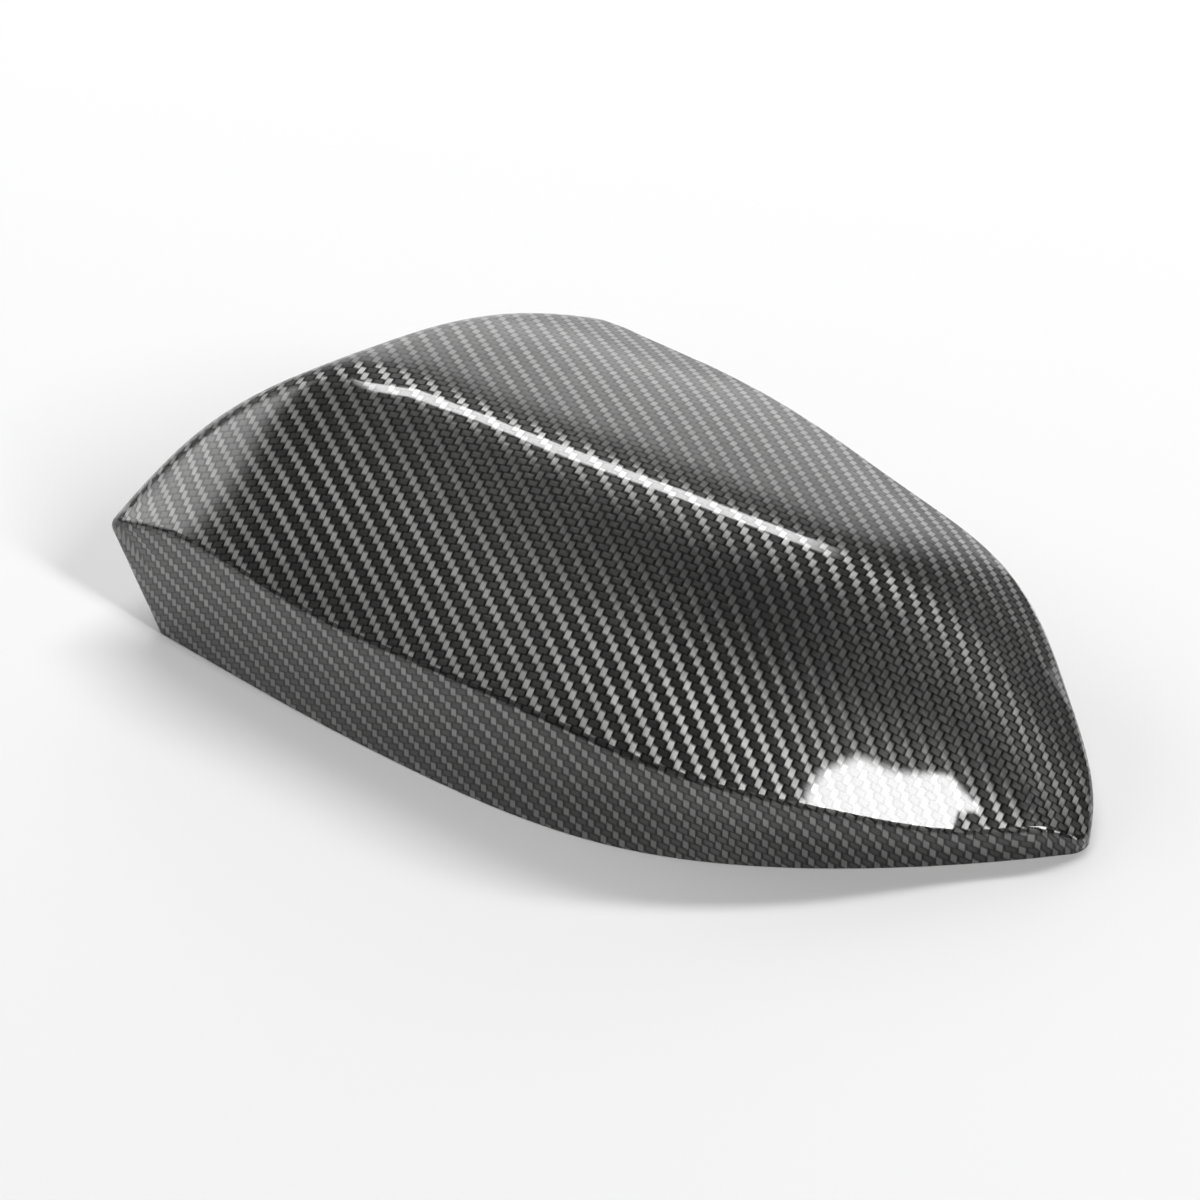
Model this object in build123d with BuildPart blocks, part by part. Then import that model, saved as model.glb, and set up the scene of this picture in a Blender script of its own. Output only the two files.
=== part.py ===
"""Wing mirror cover: one moulded carbon laminate shell, lying on its rim with the open side down.

X runs from the blunt end that faces the car to the outer tip, Y from the near side to the far side,
Z up. The sizes below are measured from the near bottom corner of the blunt end. The finished shell
is moved so that the origin is at the middle of its box, on the surface that the rim rests on.
"""

import os

from build123d import *

# Laminate and edge rounding, in millimetres
wall = 1.8
roof_wall = 2.1
crease_radius = 2.6
end_edge_radius = 2.0
shoulder_radius = 9.0
tip_radius = 6.0
far_corner_radius = 18.0

# Plan outline of the walls: near side from the blunt end to the tip, then the far side back
near_side = [(-26, 8.2), (30, -12.0), (85, -29.4), (135, -37.2), (195, -24.4), (245, -0.5)]
far_side = [(245, -0.5), (241, 18), (229.5, 37), (206, 64), (168, 77.3), (121, 91.5), (85, 102.5)]
side_steps = 10
wall_low = -20.0
wall_high = 95.0

# Roof stations along X: place and height of the ridge, then the slope and the bend of the near
# panel and of the far panel where they meet it, then half the width of the rounded ridge
roof_stations = [
    (-40, 48, 47.0, 0.38, 0.0010, -0.02, 0.0034, 6),
    (0, 42, 57.2, 0.42, 0.0023, -0.02, 0.0034, 6),
    (40, 36, 69.8, 0.42, 0.0049, -0.01, 0.0026, 6),
    (80, 28.5, 69.2, 0.38, 0.0037, -0.02, 0.0031, 6),
    (120, 23, 65.2, 0.33, 0.0032, -0.02, 0.0030, 7),
    (160, 26, 55.3, 0.30, 0.0034, -0.05, 0.0034, 9),
    (190, 34, 44.5, 0.25, 0.0034, -0.10, 0.0054, 12),
    (215, 28, 29.5, 0.15, 0.0065, -0.05, 0.0052, 14),
    (235, 14, 15.3, 0.12, 0.0110, -0.05, 0.0087, 18),
    (255, 2, -3.0, 0.12, 0.0120, -0.05, 0.0090, 22),
]
roof_near = -75.0
roof_far = 125.0
roof_floor = -220.0

# Shoulder panel of the blunt end: it runs along the wall of that end, rises gently, and is bowed
# outward both in plan and in height
end_bow_radius = 270.0
shoulder_bend_radius = 50.0
shoulder_run = (92, 86, 13)
shoulder_middle = (38, 60, 42.5)
shoulder_side = 11.4
shoulder_crown = 34.5
shoulder_reach = 225.0
shoulder_turn_deg = 60.0

# End facet of the blunt end: it leans, with its top edge standing out over its foot
end_top = (-21.5, 5.9, 37)
end_foot = (-2.2, 0, 0)
end_across = (4, 14.5, 0)

# Far rim, as distance along X and height: it stands on the floor at the blunt end only
far_rim = [(52, 0), (66, 10), (84, 34), (104, 45), (140, 41), (172, 35), (204, 25), (228, 11), (239, 0)]
far_rim_start = 20.0
far_rim_end = 130.0


def parabola(y, z, slope, bend, start, end):
    """Curve from y = start to y = end with the given height, slope and bend at y."""

    def height(at):
        return z + slope * (at - y) - bend * (at - y) ** 2

    start_slope = slope - 2 * bend * (start - y)
    middle = (start + end) / 2
    handle = height(start) + start_slope * (end - start) / 2
    return Bezier((start, height(start)), (middle, handle), (end, height(end)))


def roof_body(drop):
    """Everything under the two top panels and the soft ridge between them."""
    with BuildPart() as roof:
        for x, y, z, near_slope, near_bend, far_slope, far_bend, soft in roof_stations:
            with BuildSketch(Plane.YZ.offset(x)):
                with BuildLine():
                    near = parabola(y, z - drop, near_slope, near_bend, roof_near, y - soft)
                    far = parabola(y, z - drop, far_slope, far_bend, y + soft, roof_far)
                    Bezier(near @ 1, (y, z - drop), far @ 0)
                    Polyline(far @ 1, (roof_far, roof_floor), (roof_near, roof_floor), near @ 0)
                make_face()
        loft()
    return roof.part


def shoulder_body(inset):
    """Everything on the inner side of the shoulder panel."""
    bend = shoulder_bend_radius - inset
    side = shoulder_side - inset
    crown = shoulder_crown - inset
    run = Vector(*shoulder_run).normalized()
    across = Vector(-run.Y, run.X, 0).normalized()
    section = Plane(origin=shoulder_middle, x_dir=across, z_dir=run)
    turn = Axis(section.origin - across * end_bow_radius, section.y_dir)
    with BuildSketch(section) as profile:
        with BuildLine():
            RadiusArc((side, crown - bend), (side - bend, crown), -bend)
            Polyline(
                (side - bend, crown),
                (side - bend, shoulder_reach),
                (-shoulder_reach, shoulder_reach),
                (-shoulder_reach, -shoulder_reach),
                (side, -shoulder_reach),
                (side, crown - bend),
            )
        make_face()
    with BuildPart() as shoulder:
        revolve(profile.sketch.rotate(turn, -shoulder_turn_deg), axis=turn, revolution_arc=2 * shoulder_turn_deg)
    return shoulder.part


def plan_sides(inset):
    """The three sides of the plan outline moved in by the inset, each as a few points in order."""
    with BuildSketch() as plan:
        with BuildLine():
            Spline(*near_side)
            Spline(*far_side)
            RadiusArc(far_side[-1], near_side[0], -end_bow_radius)
        make_face()
        offset(amount=-inset, kind=Kind.INTERSECTION)
    return [[edge @ (step / side_steps) for step in range(side_steps + 1)] for edge in plan.edges()]


def form(inset, drop):
    """The whole cover as a filled body, with its faces moved in by the inset."""
    with BuildPart() as cap:
        add(roof_body(drop))
        add(shoulder_body(inset), mode=Mode.INTERSECT)
        panel = cap.faces().filter_by(GeomType.TORUS).sort_by(SortBy.AREA)[-1]
        seams = panel.edges().filter_by(GeomType.BSPLINE)
        fillet(seams, shoulder_radius - inset)

    facing = Vector(*end_across).cross(Vector(*end_foot) - Vector(*end_top)).normalized()
    end_plane = Plane(origin=Vector(*end_top) - facing * inset, x_dir=end_across, z_dir=facing)
    with BuildPart() as body:
        with BuildSketch(Plane.XY.offset(wall_low)):
            with BuildLine():
                for side in plan_sides(inset):
                    Spline(*side)
            make_face()
        extrude(amount=wall_high - wall_low)
        fillet(body.edges().filter_by(Axis.Z).sort_by(Axis.Y)[-1], far_corner_radius - inset)
        fillet(body.edges().filter_by(Axis.Z).sort_by(Axis.X)[-1], tip_radius - inset)
        add(cap.part, mode=Mode.INTERSECT)
        split(bisect_by=end_plane, keep=Keep.BOTTOM)
    return body.part, end_plane


inner, inner_end = form(wall, roof_wall)
outer, outer_end = form(0, 0)

with BuildPart() as shell:
    add(outer)
    # Round the crease all the way round the top, then the edges of the end facet
    bottom = shell.faces().sort_by(Axis.Z)[0]
    sides = shell.faces().filter_by(lambda face: face.bounding_box().min.Z < wall_low + 1) - [bottom]
    end_facet = sides.sort_by(Axis.X)[0]
    top = shell.faces() - sides - [bottom]
    fillet((sides - [end_facet]).edges() & top.edges(), crease_radius)
    end_facet = shell.faces().filter_by(lambda face: abs(face.normal_at().dot(outer_end.z_dir)) > 0.999)
    fillet(end_facet.edges() - bottom.edges(), end_edge_radius)
    # Hollow it, cut the near rim flat, then cut the far rim along its rising line
    add(inner, mode=Mode.SUBTRACT)
    split(bisect_by=Plane.XY, keep=Keep.TOP)
    with BuildSketch(Plane.XZ.offset(-far_rim_start)):
        with BuildLine():
            Spline(*far_rim)
            Polyline(far_rim[-1], (far_rim[-1][0], wall_low), (far_rim[0][0], wall_low), far_rim[0])
        make_face()
    extrude(amount=far_rim_start - far_rim_end, mode=Mode.SUBTRACT)

box = shell.part.bounding_box()
with BuildPart() as mirror_cover:
    with Locations((-box.center().X, -box.center().Y, 0)):
        add(shell.part)

mirror_cover.part.label = "mirror_cover"
os.makedirs("parts", exist_ok=True)
export_step(mirror_cover.part, "parts/mirror_cover.step")
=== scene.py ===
import math

import bpy
import numpy as np
from mathutils import Matrix, Vector
from mathutils.bvhtree import BVHTree


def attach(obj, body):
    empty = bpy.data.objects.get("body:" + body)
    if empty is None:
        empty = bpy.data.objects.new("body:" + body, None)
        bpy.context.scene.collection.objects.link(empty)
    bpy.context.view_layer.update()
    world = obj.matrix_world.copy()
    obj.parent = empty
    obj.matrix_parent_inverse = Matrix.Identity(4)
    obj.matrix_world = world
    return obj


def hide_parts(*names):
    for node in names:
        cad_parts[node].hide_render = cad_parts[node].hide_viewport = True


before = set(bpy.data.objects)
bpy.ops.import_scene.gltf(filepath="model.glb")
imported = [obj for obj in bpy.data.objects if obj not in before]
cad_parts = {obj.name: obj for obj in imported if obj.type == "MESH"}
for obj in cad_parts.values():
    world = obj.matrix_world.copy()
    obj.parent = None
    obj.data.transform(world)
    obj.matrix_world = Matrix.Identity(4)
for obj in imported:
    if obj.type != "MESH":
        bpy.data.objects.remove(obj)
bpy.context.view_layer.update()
scene = bpy.context.scene
scene.view_settings.view_transform = "Standard"

# Photograph's viewing angle and lens, and the studio axes that go with it, in metres
AZIMUTH = math.radians(19.65)
ELEVATION = math.radians(40.0)
DISTANCE = 1.2
TARGET = Vector((-0.01344, 0.01779, 0.0))
SENSOR_MM = 36.0
LENS_MM = 138.6
CLIP_START = 0.05
RIGHT = Vector((math.cos(AZIMUTH), math.sin(AZIMUTH), 0.0))
AWAY = Vector((-math.sin(AZIMUTH), math.cos(AZIMUTH), 0.0))
UP = Vector((0.0, 0.0, 1.0))
BACK = Vector((
    math.sin(AZIMUTH) * math.cos(ELEVATION),
    -math.cos(AZIMUTH) * math.cos(ELEVATION),
    math.sin(ELEVATION),
))

# Sorting of the faces, by where they lie and by the parts of their unit normals
FLAT_RIM_TOP = 2e-5
RAISED_RIM_FROM_Y = 0.02
RAISED_RIM_MOST_Y = 0.02  # of its normal, as that rim is cut straight along Y
OVERHANG_Z = -0.2
STEEP_Z = 0.6
TOP_Z = 0.3
LEAST_AREA = 1e-12

# Cloth: width of a tow, and the directions of weft and warp in plan on the near panel
TOW = 0.00167
WEFT_ANGLE = math.radians(-3.3)
WARP_ANGLE = math.radians(84.1)

# Grid over the top panels, with its lines along weft and warp
GRID_STEP = 0.0015
GRID_MARGIN = 0.02  # past the shell
EDGE_BAND = 0.0045  # inside the outline, where the top isn't read
READ_FROM = 0.3  # height above the floor
CARRY_PASSES = 60  # of carrying the height on past the crease
MOST_SLOPE = 4  # that counts in the run along the surface

# Cloth at the crease, with directions in degrees
CREASE_BAND = 0.008  # inside the outline, where the cloth is bent round
OUTLINE_FACES = (-180, -130, -112, -58, -20, 60, 90, 130, 155, 180)
CLOTH_FALLS = (-180, -130, -90, -90, -20, 80, 90, 130, 180, 180)  # where the outline faces so

# Shading normals, each fade with its start and its length
SMOOTHING_PASSES = 14
INWARD_FADE = (0.006, 0.006)  # by distance from the outline
LIKENESS_FADE = (0.97, 0.02)  # by likeness to the mesh's own normal
LEAST_WEIGHT = 1e-6

# Twill, in tow widths
REPEAT = 4.0
SIDE_FADE = (0.70, 1.0)  # to the dark sides of a float: resin in the gaps and painted shade
END_FADE = (0.48, 0.88)  # to the dark ends of a float: resin and painted shade where it dives under
ROUND_POWER = 0.6  # of its height across
DIVE_POWER = 4.0  # of its dive at the ends
FIBRE_GRAIN = (14.0, 0.6, 7.0)  # across, along, and between warp and weft
FIBRE_DETAIL = 2.0

# Laminate
TONE_SPREAD = (0.88, 1.12)  # of shade from float to float
FIBRE_SPREAD = (0.75, 1.25)  # of shade from fibre to fibre
RESIN_AND_SHADE_SPREAD = (0.15, 1.0)  # of level from the sides and ends of a float, dark with resin and painted shade, to its middle
BLUE_SHARE = 0.98
FIBRE_RELIEF = 0.25
RELIEF_DEPTH = 0.0001
QUARTER_TURN = 0.25
COAT_ROUGHNESS = 0.02
COAT_IOR = 1.5

# Cut edge
PLY_SCALE = 900.0
PLY_DETAIL = 3.0
PLY_SPREAD = (0.16, 0.28)
PLY_ROUGHNESS = 0.5
PLY_RELIEF = 0.3

# Floor and world
FLOOR_HALF = 3.0
FLOOR_Z = -0.0002
PAPER = (0.87, 0.87, 0.87, 1)
WORLD_COLOR = (1, 1, 1, 1)
WORLD_STRENGTH = 0.12


# The shell's mesh, copied, with its faces sorted into the coated outside, the bare inside and the cut edge
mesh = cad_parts["mirror_cover"].data.copy()
mesh.name = "carbon_shell"
shell = bpy.data.objects.new("carbon_shell", mesh)
scene.collection.objects.link(shell)

points = np.zeros(len(mesh.vertices) * 3)
mesh.vertices.foreach_get("co", points)
points = points.reshape(-1, 3)
faces = np.zeros(len(mesh.polygons) * 3, int)
mesh.polygons.foreach_get("vertices", faces)
faces = faces.reshape(-1, 3)
corners = points[faces]
middles = corners.mean(1)
normals = np.cross(corners[:, 1] - corners[:, 0], corners[:, 2] - corners[:, 0])
twice_area = np.maximum(np.linalg.norm(normals, axis=1, keepdims=True), LEAST_AREA)
normals /= twice_area

flat_rim = corners[:, :, 2].max(1) < FLAT_RIM_TOP
overhanging = normals[:, 2] < OVERHANG_Z
cut_along_y = (np.abs(normals[:, 1]) < RAISED_RIM_MOST_Y) & overhanging
raised_rim = cut_along_y & (middles[:, 1] > RAISED_RIM_FROM_Y)
edge_face = flat_rim | raised_rim
facing_out = (normals[:, 0] * middles[:, 0] + normals[:, 1] * middles[:, 1]) > 0
steep = np.abs(normals[:, 2]) < STEEP_Z
outer_face = np.where(steep, facing_out, normals[:, 2] > 0) & ~edge_face
end_facet = outer_face & overhanging
top_face = outer_face & (normals[:, 2] > TOP_Z)


def hull(flat):
    """Convex outline of points in plan, in order."""
    flat = flat[np.lexsort((flat[:, 1], flat[:, 0]))]

    def half(sequence):
        chain = []
        for p in sequence:
            while len(chain) > 1:
                a, b = chain[-2], chain[-1]
                if (b[0] - a[0]) * (p[1] - a[1]) - (b[1] - a[1]) * (p[0] - a[0]) > 0:
                    break
                chain.pop()
            chain.append(p)
        return chain[:-1]

    return np.array(half(flat) + half(flat[::-1]))


outline = hull(points[:, :2])


def to_outline(flat):
    """For points in plan: distance to the outline, its nearest point and the way out from there."""
    best = np.full(len(flat), np.inf)
    near = np.zeros((len(flat), 2))
    out = np.zeros((len(flat), 2))
    for start, end in zip(outline, np.roll(outline, -1, 0)):
        run = end - start
        square = (run ** 2).sum()
        share = np.clip(((flat - start) @ run) / square, 0, 1)
        spot = start + share[:, None] * run
        gap = np.hypot(*(flat - spot).T)
        closer = gap < best
        best[closer] = gap[closer]
        near[closer] = spot[closer]
        out[closer] = np.array((run[1], -run[0])) / math.sqrt(square)
    return best, near, out


# Height of the top panels over a slanted grid that follows the cloth
weft_way = np.array((math.cos(WEFT_ANGLE), math.sin(WEFT_ANGLE)))
warp_way = np.array((math.cos(WARP_ANGLE), math.sin(WARP_ANGLE)))
to_cloth = np.linalg.inv(np.column_stack((weft_way, warp_way)))
in_cloth = points[:, :2] @ to_cloth.T
low = in_cloth.min(0) - GRID_MARGIN
steps = np.ceil((in_cloth.max(0) + GRID_MARGIN - low) / GRID_STEP).astype(int) + 1
lines = [start + GRID_STEP * np.arange(number) for start, number in zip(low, steps)]
grid_weft, grid_warp = np.meshgrid(*lines, indexing="ij")
grid_shape = grid_weft.shape
grid = grid_weft.reshape(-1, 1) * weft_way + grid_warp.reshape(-1, 1) * warp_way
grid_depth, grid_spot, grid_out = to_outline(grid)
inside = ((grid - grid_spot) * grid_out).sum(1) < 0

top_index = np.flatnonzero(top_face)
tree = BVHTree.FromPolygons(points.tolist(), faces[top_index].tolist())
height = np.full(len(grid), np.nan)
landings = []
for k in np.flatnonzero(inside & (grid_depth > EDGE_BAND)):
    place, _, hit, _ = tree.ray_cast(Vector((*grid[k], READ_FROM)), -UP)
    if place is not None:
        height[k] = place.z
        landings.append((k, top_index[hit], np.array(place)))
height = height.reshape(grid_shape)

# Carry the height on smoothly past the crease
for _ in range(CARRY_PASSES):
    missing = np.isnan(height)
    if not missing.any():
        break
    total = np.zeros(grid_shape)
    guesses = np.zeros(grid_shape)
    for offset in ((1, 0), (-1, 0), (0, 1), (0, -1)):
        one = np.roll(height, offset, (0, 1))
        two = np.roll(one, offset, (0, 1))
        guess = 2 * one - two
        good = missing & ~np.isnan(guess)
        total[good] += guess[good]
        guesses[good] += 1
    filled = guesses > 0
    height[filled] = total[filled] / guesses[filled]
height = np.nan_to_num(height)


def run_along(axis):
    """Length of the surface along the grid lines of one axis, from the line through the origin."""
    slope = np.clip(np.gradient(height, GRID_STEP, axis=axis), -MOST_SLOPE, MOST_SLOPE)
    run = np.cumsum(np.sqrt(1 + slope ** 2), axis=axis) * GRID_STEP
    origin = int(round(-low[axis] / GRID_STEP))
    return run - run.take([origin], axis=axis)


run_of_weft = run_along(0)
run_of_warp = run_along(1)


def on_grid(values, flat):
    """Value of a grid quantity at points in plan."""
    at = (flat @ to_cloth.T - low) / GRID_STEP
    cell = np.clip(np.floor(at).astype(int), 0, np.array(grid_shape) - 2)
    i, j = cell.T
    p, q = (at - cell).T
    return (values[i, j] * (1 - p) * (1 - q) + values[i + 1, j] * p * (1 - q)
            + values[i, j + 1] * (1 - p) * q + values[i + 1, j + 1] * p * q)


def cloth_of(where):
    """Cloth coordinates of points: over the top panels, round the crease and down the walls."""
    flat = where[:, :2]
    depth, spot, out = to_outline(flat)
    drop = np.maximum(on_grid(height, flat) - where[:, 2], 0)
    past = drop - depth
    bent = spot - out * np.abs(past)[:, None]
    lying = np.where((depth > CREASE_BAND)[:, None], flat, bent)
    foot = np.where((past < 0)[:, None], lying, spot)
    fall = np.maximum(past, 0)
    faces_to = np.degrees(np.arctan2(out[:, 1], out[:, 0]))
    falls_to = np.radians(np.interp(faces_to, OUTLINE_FACES, CLOTH_FALLS))
    return np.column_stack((
        on_grid(run_of_weft, foot) + fall * np.cos(falls_to),
        -on_grid(run_of_warp, foot) - fall * np.sin(falls_to),
    ))


# The end facet is flat, so its own piece of cloth lies straight on it
facing = (normals * twice_area)[end_facet].sum(0)
facing /= np.linalg.norm(facing)
rising = np.array((0, 0, 1)) - facing * facing[2]
rising /= np.linalg.norm(rising)
draped = cloth_of(points) / TOW
straight = np.column_stack((points @ np.cross(rising, facing), -points @ rising)) / TOW
on_facet = np.repeat(end_facet, 3)[:, None]
cloth = np.where(on_facet, straight[faces.ravel()], draped[faces.ravel()])
layer = mesh.uv_layers.new(name="cloth")
layer.uv.foreach_set("vector", cloth.astype(np.float32).ravel())
mesh.uv_layers.active = layer


# Shading normals of the top panels, evened out so that reflections run smoothly along the ridge
def smooth(values, axis):
    """One pass of smoothing along one axis of the grid."""
    return (np.roll(values, 1, axis) + 2 * values + np.roll(values, -1, axis)) / 4


def fade(values, start, length):
    """0 up to the start, then rising to 1 over the length."""
    return np.clip((values - start) / length, 0, 1)


corner_normals = np.zeros(len(mesh.loops) * 3, np.float32)
mesh.corner_normals.foreach_get("vector", corner_normals)
corner_normals = corner_normals.reshape(-1, 3, 3).astype(float)
field = np.zeros((len(grid), 3))
known = np.zeros((len(grid), 1))
for k, face, place in landings:
    a, b, c = corners[face]
    weights = np.linalg.lstsq(np.column_stack((b - a, c - a)), place - a, rcond=None)[0]
    field[k] = np.array((1 - weights.sum(), *weights)) @ corner_normals[face]
    known[k] = 1
field = field.reshape(*grid_shape, 3)
known = known.reshape(*grid_shape, 1)
for _ in range(SMOOTHING_PASSES):
    for axis in (0, 1):
        field, known = smooth(field, axis), smooth(known, axis)
field /= np.maximum(known, LEAST_WEIGHT)

corner_plan = corners.reshape(-1, 3)[:, :2]
own = corner_normals.reshape(-1, 3)
even = np.column_stack([on_grid(field[:, :, part], corner_plan) for part in range(3)])
even /= np.maximum(np.linalg.norm(even, axis=1, keepdims=True), LEAST_WEIGHT)
blend = fade(to_outline(corner_plan)[0], *INWARD_FADE)
blend *= fade((own * even).sum(1), *LIKENESS_FADE)
blend *= np.repeat(top_face, 3)
mixed = own + (even - own) * blend[:, None]
mixed /= np.linalg.norm(mixed, axis=1, keepdims=True)
mesh.normals_split_custom_set(mixed.tolist())


# Materials
class Nodes:
    """Short names for building the node tree of a material or a lamp."""

    def __init__(self, owner):
        owner.use_nodes = True
        self.owner = owner
        self.tree = owner.node_tree
        self.tree.nodes.clear()

    def put(self, socket, value):
        """Link an output to a socket, or set the socket to a constant."""
        if isinstance(value, bpy.types.NodeSocket):
            self.tree.links.new(value, socket)
        else:
            socket.default_value = value

    def add(self, kind, inputs=(), **settings):
        """New node with its settings, and its inputs in order or by name."""
        made = self.tree.nodes.new(kind)
        for key, value in settings.items():
            setattr(made, key, value)
        named = inputs if isinstance(inputs, dict) else dict(enumerate(inputs))
        for key, value in named.items():
            self.put(made.inputs[key], value)
        return made

    def math(self, operation, *values):
        return self.add("ShaderNodeMath", values, operation=operation).outputs[0]

    def mix(self, factor, a, b):
        inputs = {"Factor": factor, "A": a, "B": b}
        return self.add("ShaderNodeMix", inputs, data_type="FLOAT").outputs["Result"]

    def band(self, value, low, high):
        """0 below low, 1 above high, smooth between."""
        inputs = {"Value": value, "From Min": low, "From Max": high}
        made = self.add("ShaderNodeMapRange", inputs, interpolation_type="SMOOTHSTEP")
        return made.outputs["Result"]

    def spread(self, value, low, high):
        """Turn 0 to 1 into low to high."""
        return self.math("MULTIPLY_ADD", value, high - low, low)

    def vector(self, x, y, z):
        return self.add("ShaderNodeCombineXYZ", (x, y, z)).outputs[0]

    def relief(self, strength, height):
        inputs = {"Strength": strength, "Distance": RELIEF_DEPTH, "Height": height}
        return self.add("ShaderNodeBump", inputs).outputs[0]

    def close(self, kind, shader):
        """Put the shader on the surface, and give back the material or the lamp."""
        self.add(kind, {"Surface": shader.outputs[0]})
        return self.owner


def weave(nodes):
    """Two by two twill: whether the warp is on top, then for the float on top its height, how far the
    place is from its sides and ends, which are dark with resin and painted shade, its own tone and its
    fibres."""
    uv = nodes.add("ShaderNodeUVMap", uv_map="cloth").outputs[0]
    u, v, _ = nodes.add("ShaderNodeSeparateXYZ", (uv,)).outputs
    warp_tow, weft_tow = nodes.math("FLOOR", u), nodes.math("FLOOR", v)
    # The warp is on top on two of every four diagonals
    diagonal = nodes.math("FLOORED_MODULO", nodes.math("SUBTRACT", warp_tow, weft_tow), REPEAT)
    warp_up = nodes.math("LESS_THAN", diagonal, 1.5)
    across = nodes.mix(warp_up, v, u)
    along = nodes.mix(warp_up, u, v)

    # Place on the float that is on top, from -1 to 1 across and along it
    on_weft = nodes.math("SUBTRACT", u, weft_tow)
    on_warp = nodes.math("ADD", nodes.math("SUBTRACT", v, warp_tow), 1.0)
    run = nodes.mix(warp_up, on_weft, on_warp)
    float_middle = nodes.mix(warp_up, 3.0, 1.0)
    side = nodes.spread(nodes.math("FRACT", across), -1.0, 1.0)
    end = nodes.math("SUBTRACT", nodes.math("FLOORED_MODULO", run, REPEAT), float_middle)
    off_side, off_end = nodes.math("ABSOLUTE", side), nodes.math("ABSOLUTE", end)

    bow = nodes.math("SUBTRACT", 1.0, nodes.math("MULTIPLY", side, side))
    dive = nodes.math("SUBTRACT", 1.0, nodes.math("POWER", off_end, DIVE_POWER))
    height = nodes.math("MULTIPLY", nodes.math("POWER", bow, ROUND_POWER), dive)
    # The sides and ends of a float go dark: resin in the gaps, and painted shade where the tows dive under
    clear_side = nodes.math("SUBTRACT", 1.0, nodes.band(off_side, *SIDE_FADE))
    clear_end = nodes.math("SUBTRACT", 1.0, nodes.band(off_end, *END_FADE))
    cover = nodes.math("MULTIPLY", clear_side, clear_end)

    float_number = nodes.math("FLOOR", nodes.math("MULTIPLY", run, 1 / REPEAT))
    which = nodes.vector(nodes.math("FLOOR", across), float_number, warp_up)
    tone = nodes.add("ShaderNodeTexWhiteNoise", {"Vector": which}, noise_dimensions="3D")
    places = (across, along, warp_up)
    grain = [nodes.math("MULTIPLY", place, scale) for place, scale in zip(places, FIBRE_GRAIN)]
    inputs = {"Vector": nodes.vector(*grain), "Detail": FIBRE_DETAIL}
    fibre = nodes.add("ShaderNodeTexNoise", inputs, noise_dimensions="3D")
    return warp_up, height, cover, tone.outputs["Value"], fibre.outputs["Fac"]


def carbon(name, lit_warp_level, shaded_weft_level, roughness, coat, bump):
    """Twill of glossy fibres, which shine across their own run, under a clear coat or bare; the warp
    floats are painted lighter than the weft floats as painted light.
    """
    nodes = Nodes(bpy.data.materials.new(name))
    warp_up, height, cover, tone, fibre = weave(nodes)
    # Warp floats are painted lighter than weft floats of the same fibre: painted light for how the lamps
    # catch the warp
    shade = nodes.mix(warp_up, shaded_weft_level, lit_warp_level)
    level = nodes.math("MULTIPLY", nodes.spread(tone, *TONE_SPREAD), nodes.spread(fibre, *FIBRE_SPREAD))
    level = nodes.math("MULTIPLY", level, shade)
    level = nodes.math("MULTIPLY", level, nodes.spread(cover, *RESIN_AND_SHADE_SPREAD))
    tangent = nodes.add("ShaderNodeTangent", direction_type="UV_MAP", uv_map="cloth")
    surface = nodes.math("ADD", height, nodes.math("MULTIPLY", fibre, FIBRE_RELIEF))
    shader = nodes.add("ShaderNodeBsdfPrincipled", {
        "Base Color": nodes.vector(level, level, nodes.math("MULTIPLY", level, BLUE_SHARE)),
        "Metallic": 1.0,
        "Roughness": roughness,
        "Anisotropic": 1.0,
        "Anisotropic Rotation": nodes.mix(warp_up, QUARTER_TURN, 0.0),
        "Tangent": tangent.outputs[0],
        "Normal": nodes.relief(bump, surface),
        "Coat Weight": coat,
        "Coat Roughness": COAT_ROUGHNESS,
        "Coat IOR": COAT_IOR,
    })
    return nodes.close("ShaderNodeOutputMaterial", shader)


def cut_edge():
    """Plain grey laminate with a fine grain."""
    nodes = Nodes(bpy.data.materials.new("cut_laminate"))
    place = nodes.add("ShaderNodeTexCoord").outputs["Object"]
    inputs = {"Vector": place, "Scale": PLY_SCALE, "Detail": PLY_DETAIL}
    ply = nodes.add("ShaderNodeTexNoise", inputs).outputs["Fac"]
    level = nodes.spread(ply, *PLY_SPREAD)
    shader = nodes.add("ShaderNodeBsdfPrincipled", {
        "Base Color": nodes.vector(level, level, level),
        "Roughness": PLY_ROUGHNESS,
        "Normal": nodes.relief(PLY_RELIEF, ply),
    })
    return nodes.close("ShaderNodeOutputMaterial", shader)


mesh.materials.clear()
# Each carbon's warp level is painted lighter than its weft level, as painted light
for material in (
    carbon("coated_carbon", lit_warp_level=0.23, shaded_weft_level=0.07, roughness=0.38, coat=0.85, bump=0.5),
    carbon("bare_carbon", lit_warp_level=0.10, shaded_weft_level=0.07, roughness=0.5, coat=0.0, bump=0.7),
    cut_edge(),
):
    mesh.materials.append(material)
coated, bare, cut = range(3)
index = np.where(edge_face, cut, np.where(outer_face, coated, bare))
mesh.polygons.foreach_set("material_index", index.astype(np.int32))
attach(shell, "root")
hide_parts("mirror_cover")


# Floor, lamps, world and camera
def studio(right, away, up):
    """Place in the studio's axes."""
    return RIGHT * right + AWAY * away + UP * up


def placing(x, y, z, origin):
    """Matrix that turns to three axes and moves to an origin."""
    made = Matrix((x, y, z)).transposed().to_4x4()
    made.translation = origin
    return made


def lay_floor():
    """Level sheet of pale paper just under the rim."""
    nodes = Nodes(bpy.data.materials.new("pale_paper"))
    shader = nodes.add("ShaderNodeBsdfDiffuse", {"Color": PAPER})
    signs = ((-1, -1), (1, -1), (1, 1), (-1, 1))
    sheet = [studio(FLOOR_HALF * x, FLOOR_HALF * y, FLOOR_Z) for x, y in signs]
    made = bpy.data.meshes.new("floor")
    made.from_pydata(sheet, [], [(0, 1, 2, 3)])
    made.materials.append(nodes.close("ShaderNodeOutputMaterial", shader))
    piece = bpy.data.objects.new("floor", made)
    scene.collection.objects.link(piece)


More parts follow.
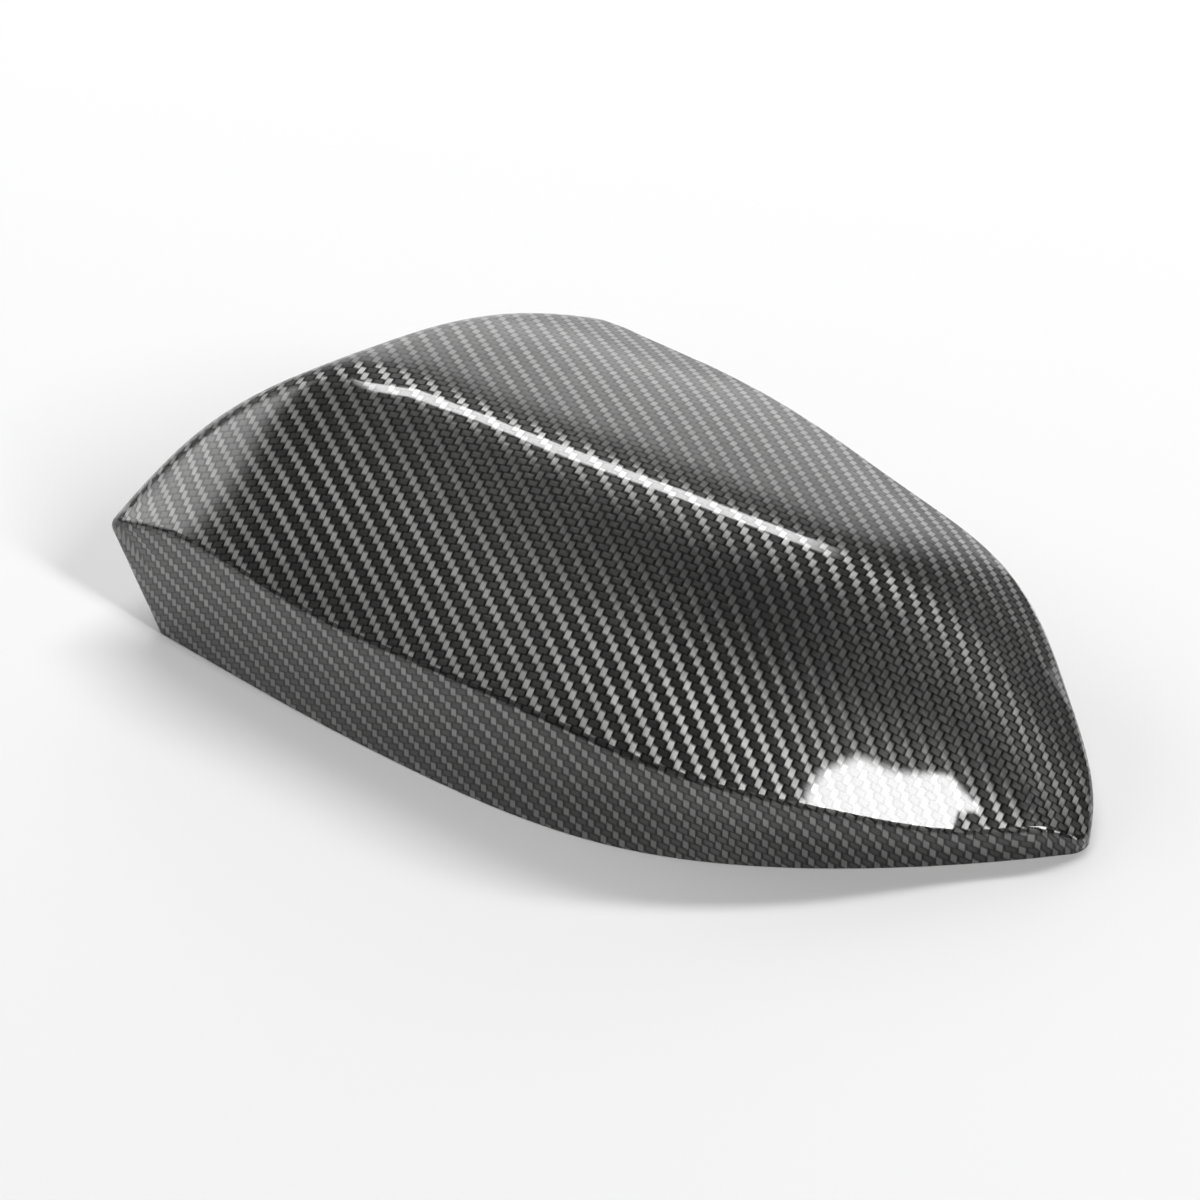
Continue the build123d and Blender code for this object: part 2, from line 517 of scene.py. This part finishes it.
def softbox(name, position, long_way, size, power, fades):
    """Lamp aimed at the origin, fading out over a share of its length and width at each edge."""
    lamp = bpy.data.lights.new(name, "AREA")
    lamp.shape = "RECTANGLE"
    lamp.size, lamp.size_y = size
    lamp.energy = power
    nodes = Nodes(lamp)
    on_lamp = nodes.add("ShaderNodeNewGeometry").outputs["Parametric"]
    strength = 1.0
    for at, share in zip(nodes.add("ShaderNodeSeparateXYZ", (on_lamp,)).outputs, fades):
        inward = nodes.math("MINIMUM", at, nodes.math("SUBTRACT", 1.0, at))
        strength = nodes.math("MULTIPLY", strength, nodes.band(inward, 0.0, share))
    nodes.close("ShaderNodeOutputLight", nodes.add("ShaderNodeEmission", {"Strength": strength}))
    held = bpy.data.objects.new(name, lamp)
    z = position.normalized()
    x = (long_way - z * long_way.dot(z)).normalized()
    held.matrix_world = placing(x, z.cross(x), z, position)
    scene.collection.objects.link(held)


lay_floor()
softbox("strip_behind", studio(0.192, 1.488, 2.4), RIGHT,
        size=(2.9, 0.44), power=66, fades=(0.12, 0.2))
softbox("box_right", studio(1.92, -1.728, 2.4), RIGHT - AWAY,
        size=(1.72, 0.56), power=74, fades=(0.06, 0.15))
softbox("panel_back", studio(0.35, 2.9, 0.94), RIGHT,
        size=(3.9, 2.9), power=60, fades=(0.3, 0.3))
softbox("panel_left", studio(-2.8, 1.44, 1.6), AWAY + RIGHT * 0.5,
        size=(3.2, 2.4), power=90, fades=(0.3, 0.3))

world = bpy.data.worlds.new("studio")
scene.world = world
world.use_nodes = True
background = world.node_tree.nodes["Background"]
background.inputs["Color"].default_value = WORLD_COLOR
background.inputs["Strength"].default_value = WORLD_STRENGTH

view = bpy.data.cameras.new("photo_view")
view.sensor_fit = "HORIZONTAL"
view.sensor_width = SENSOR_MM
view.lens = LENS_MM
view.clip_start = CLIP_START
camera = bpy.data.objects.new("photo_view", view)
camera.matrix_world = placing(RIGHT, BACK.cross(RIGHT), BACK, TARGET + BACK * DISTANCE)
scene.collection.objects.link(camera)
scene.camera = camera

bpy.context.view_layer.update()
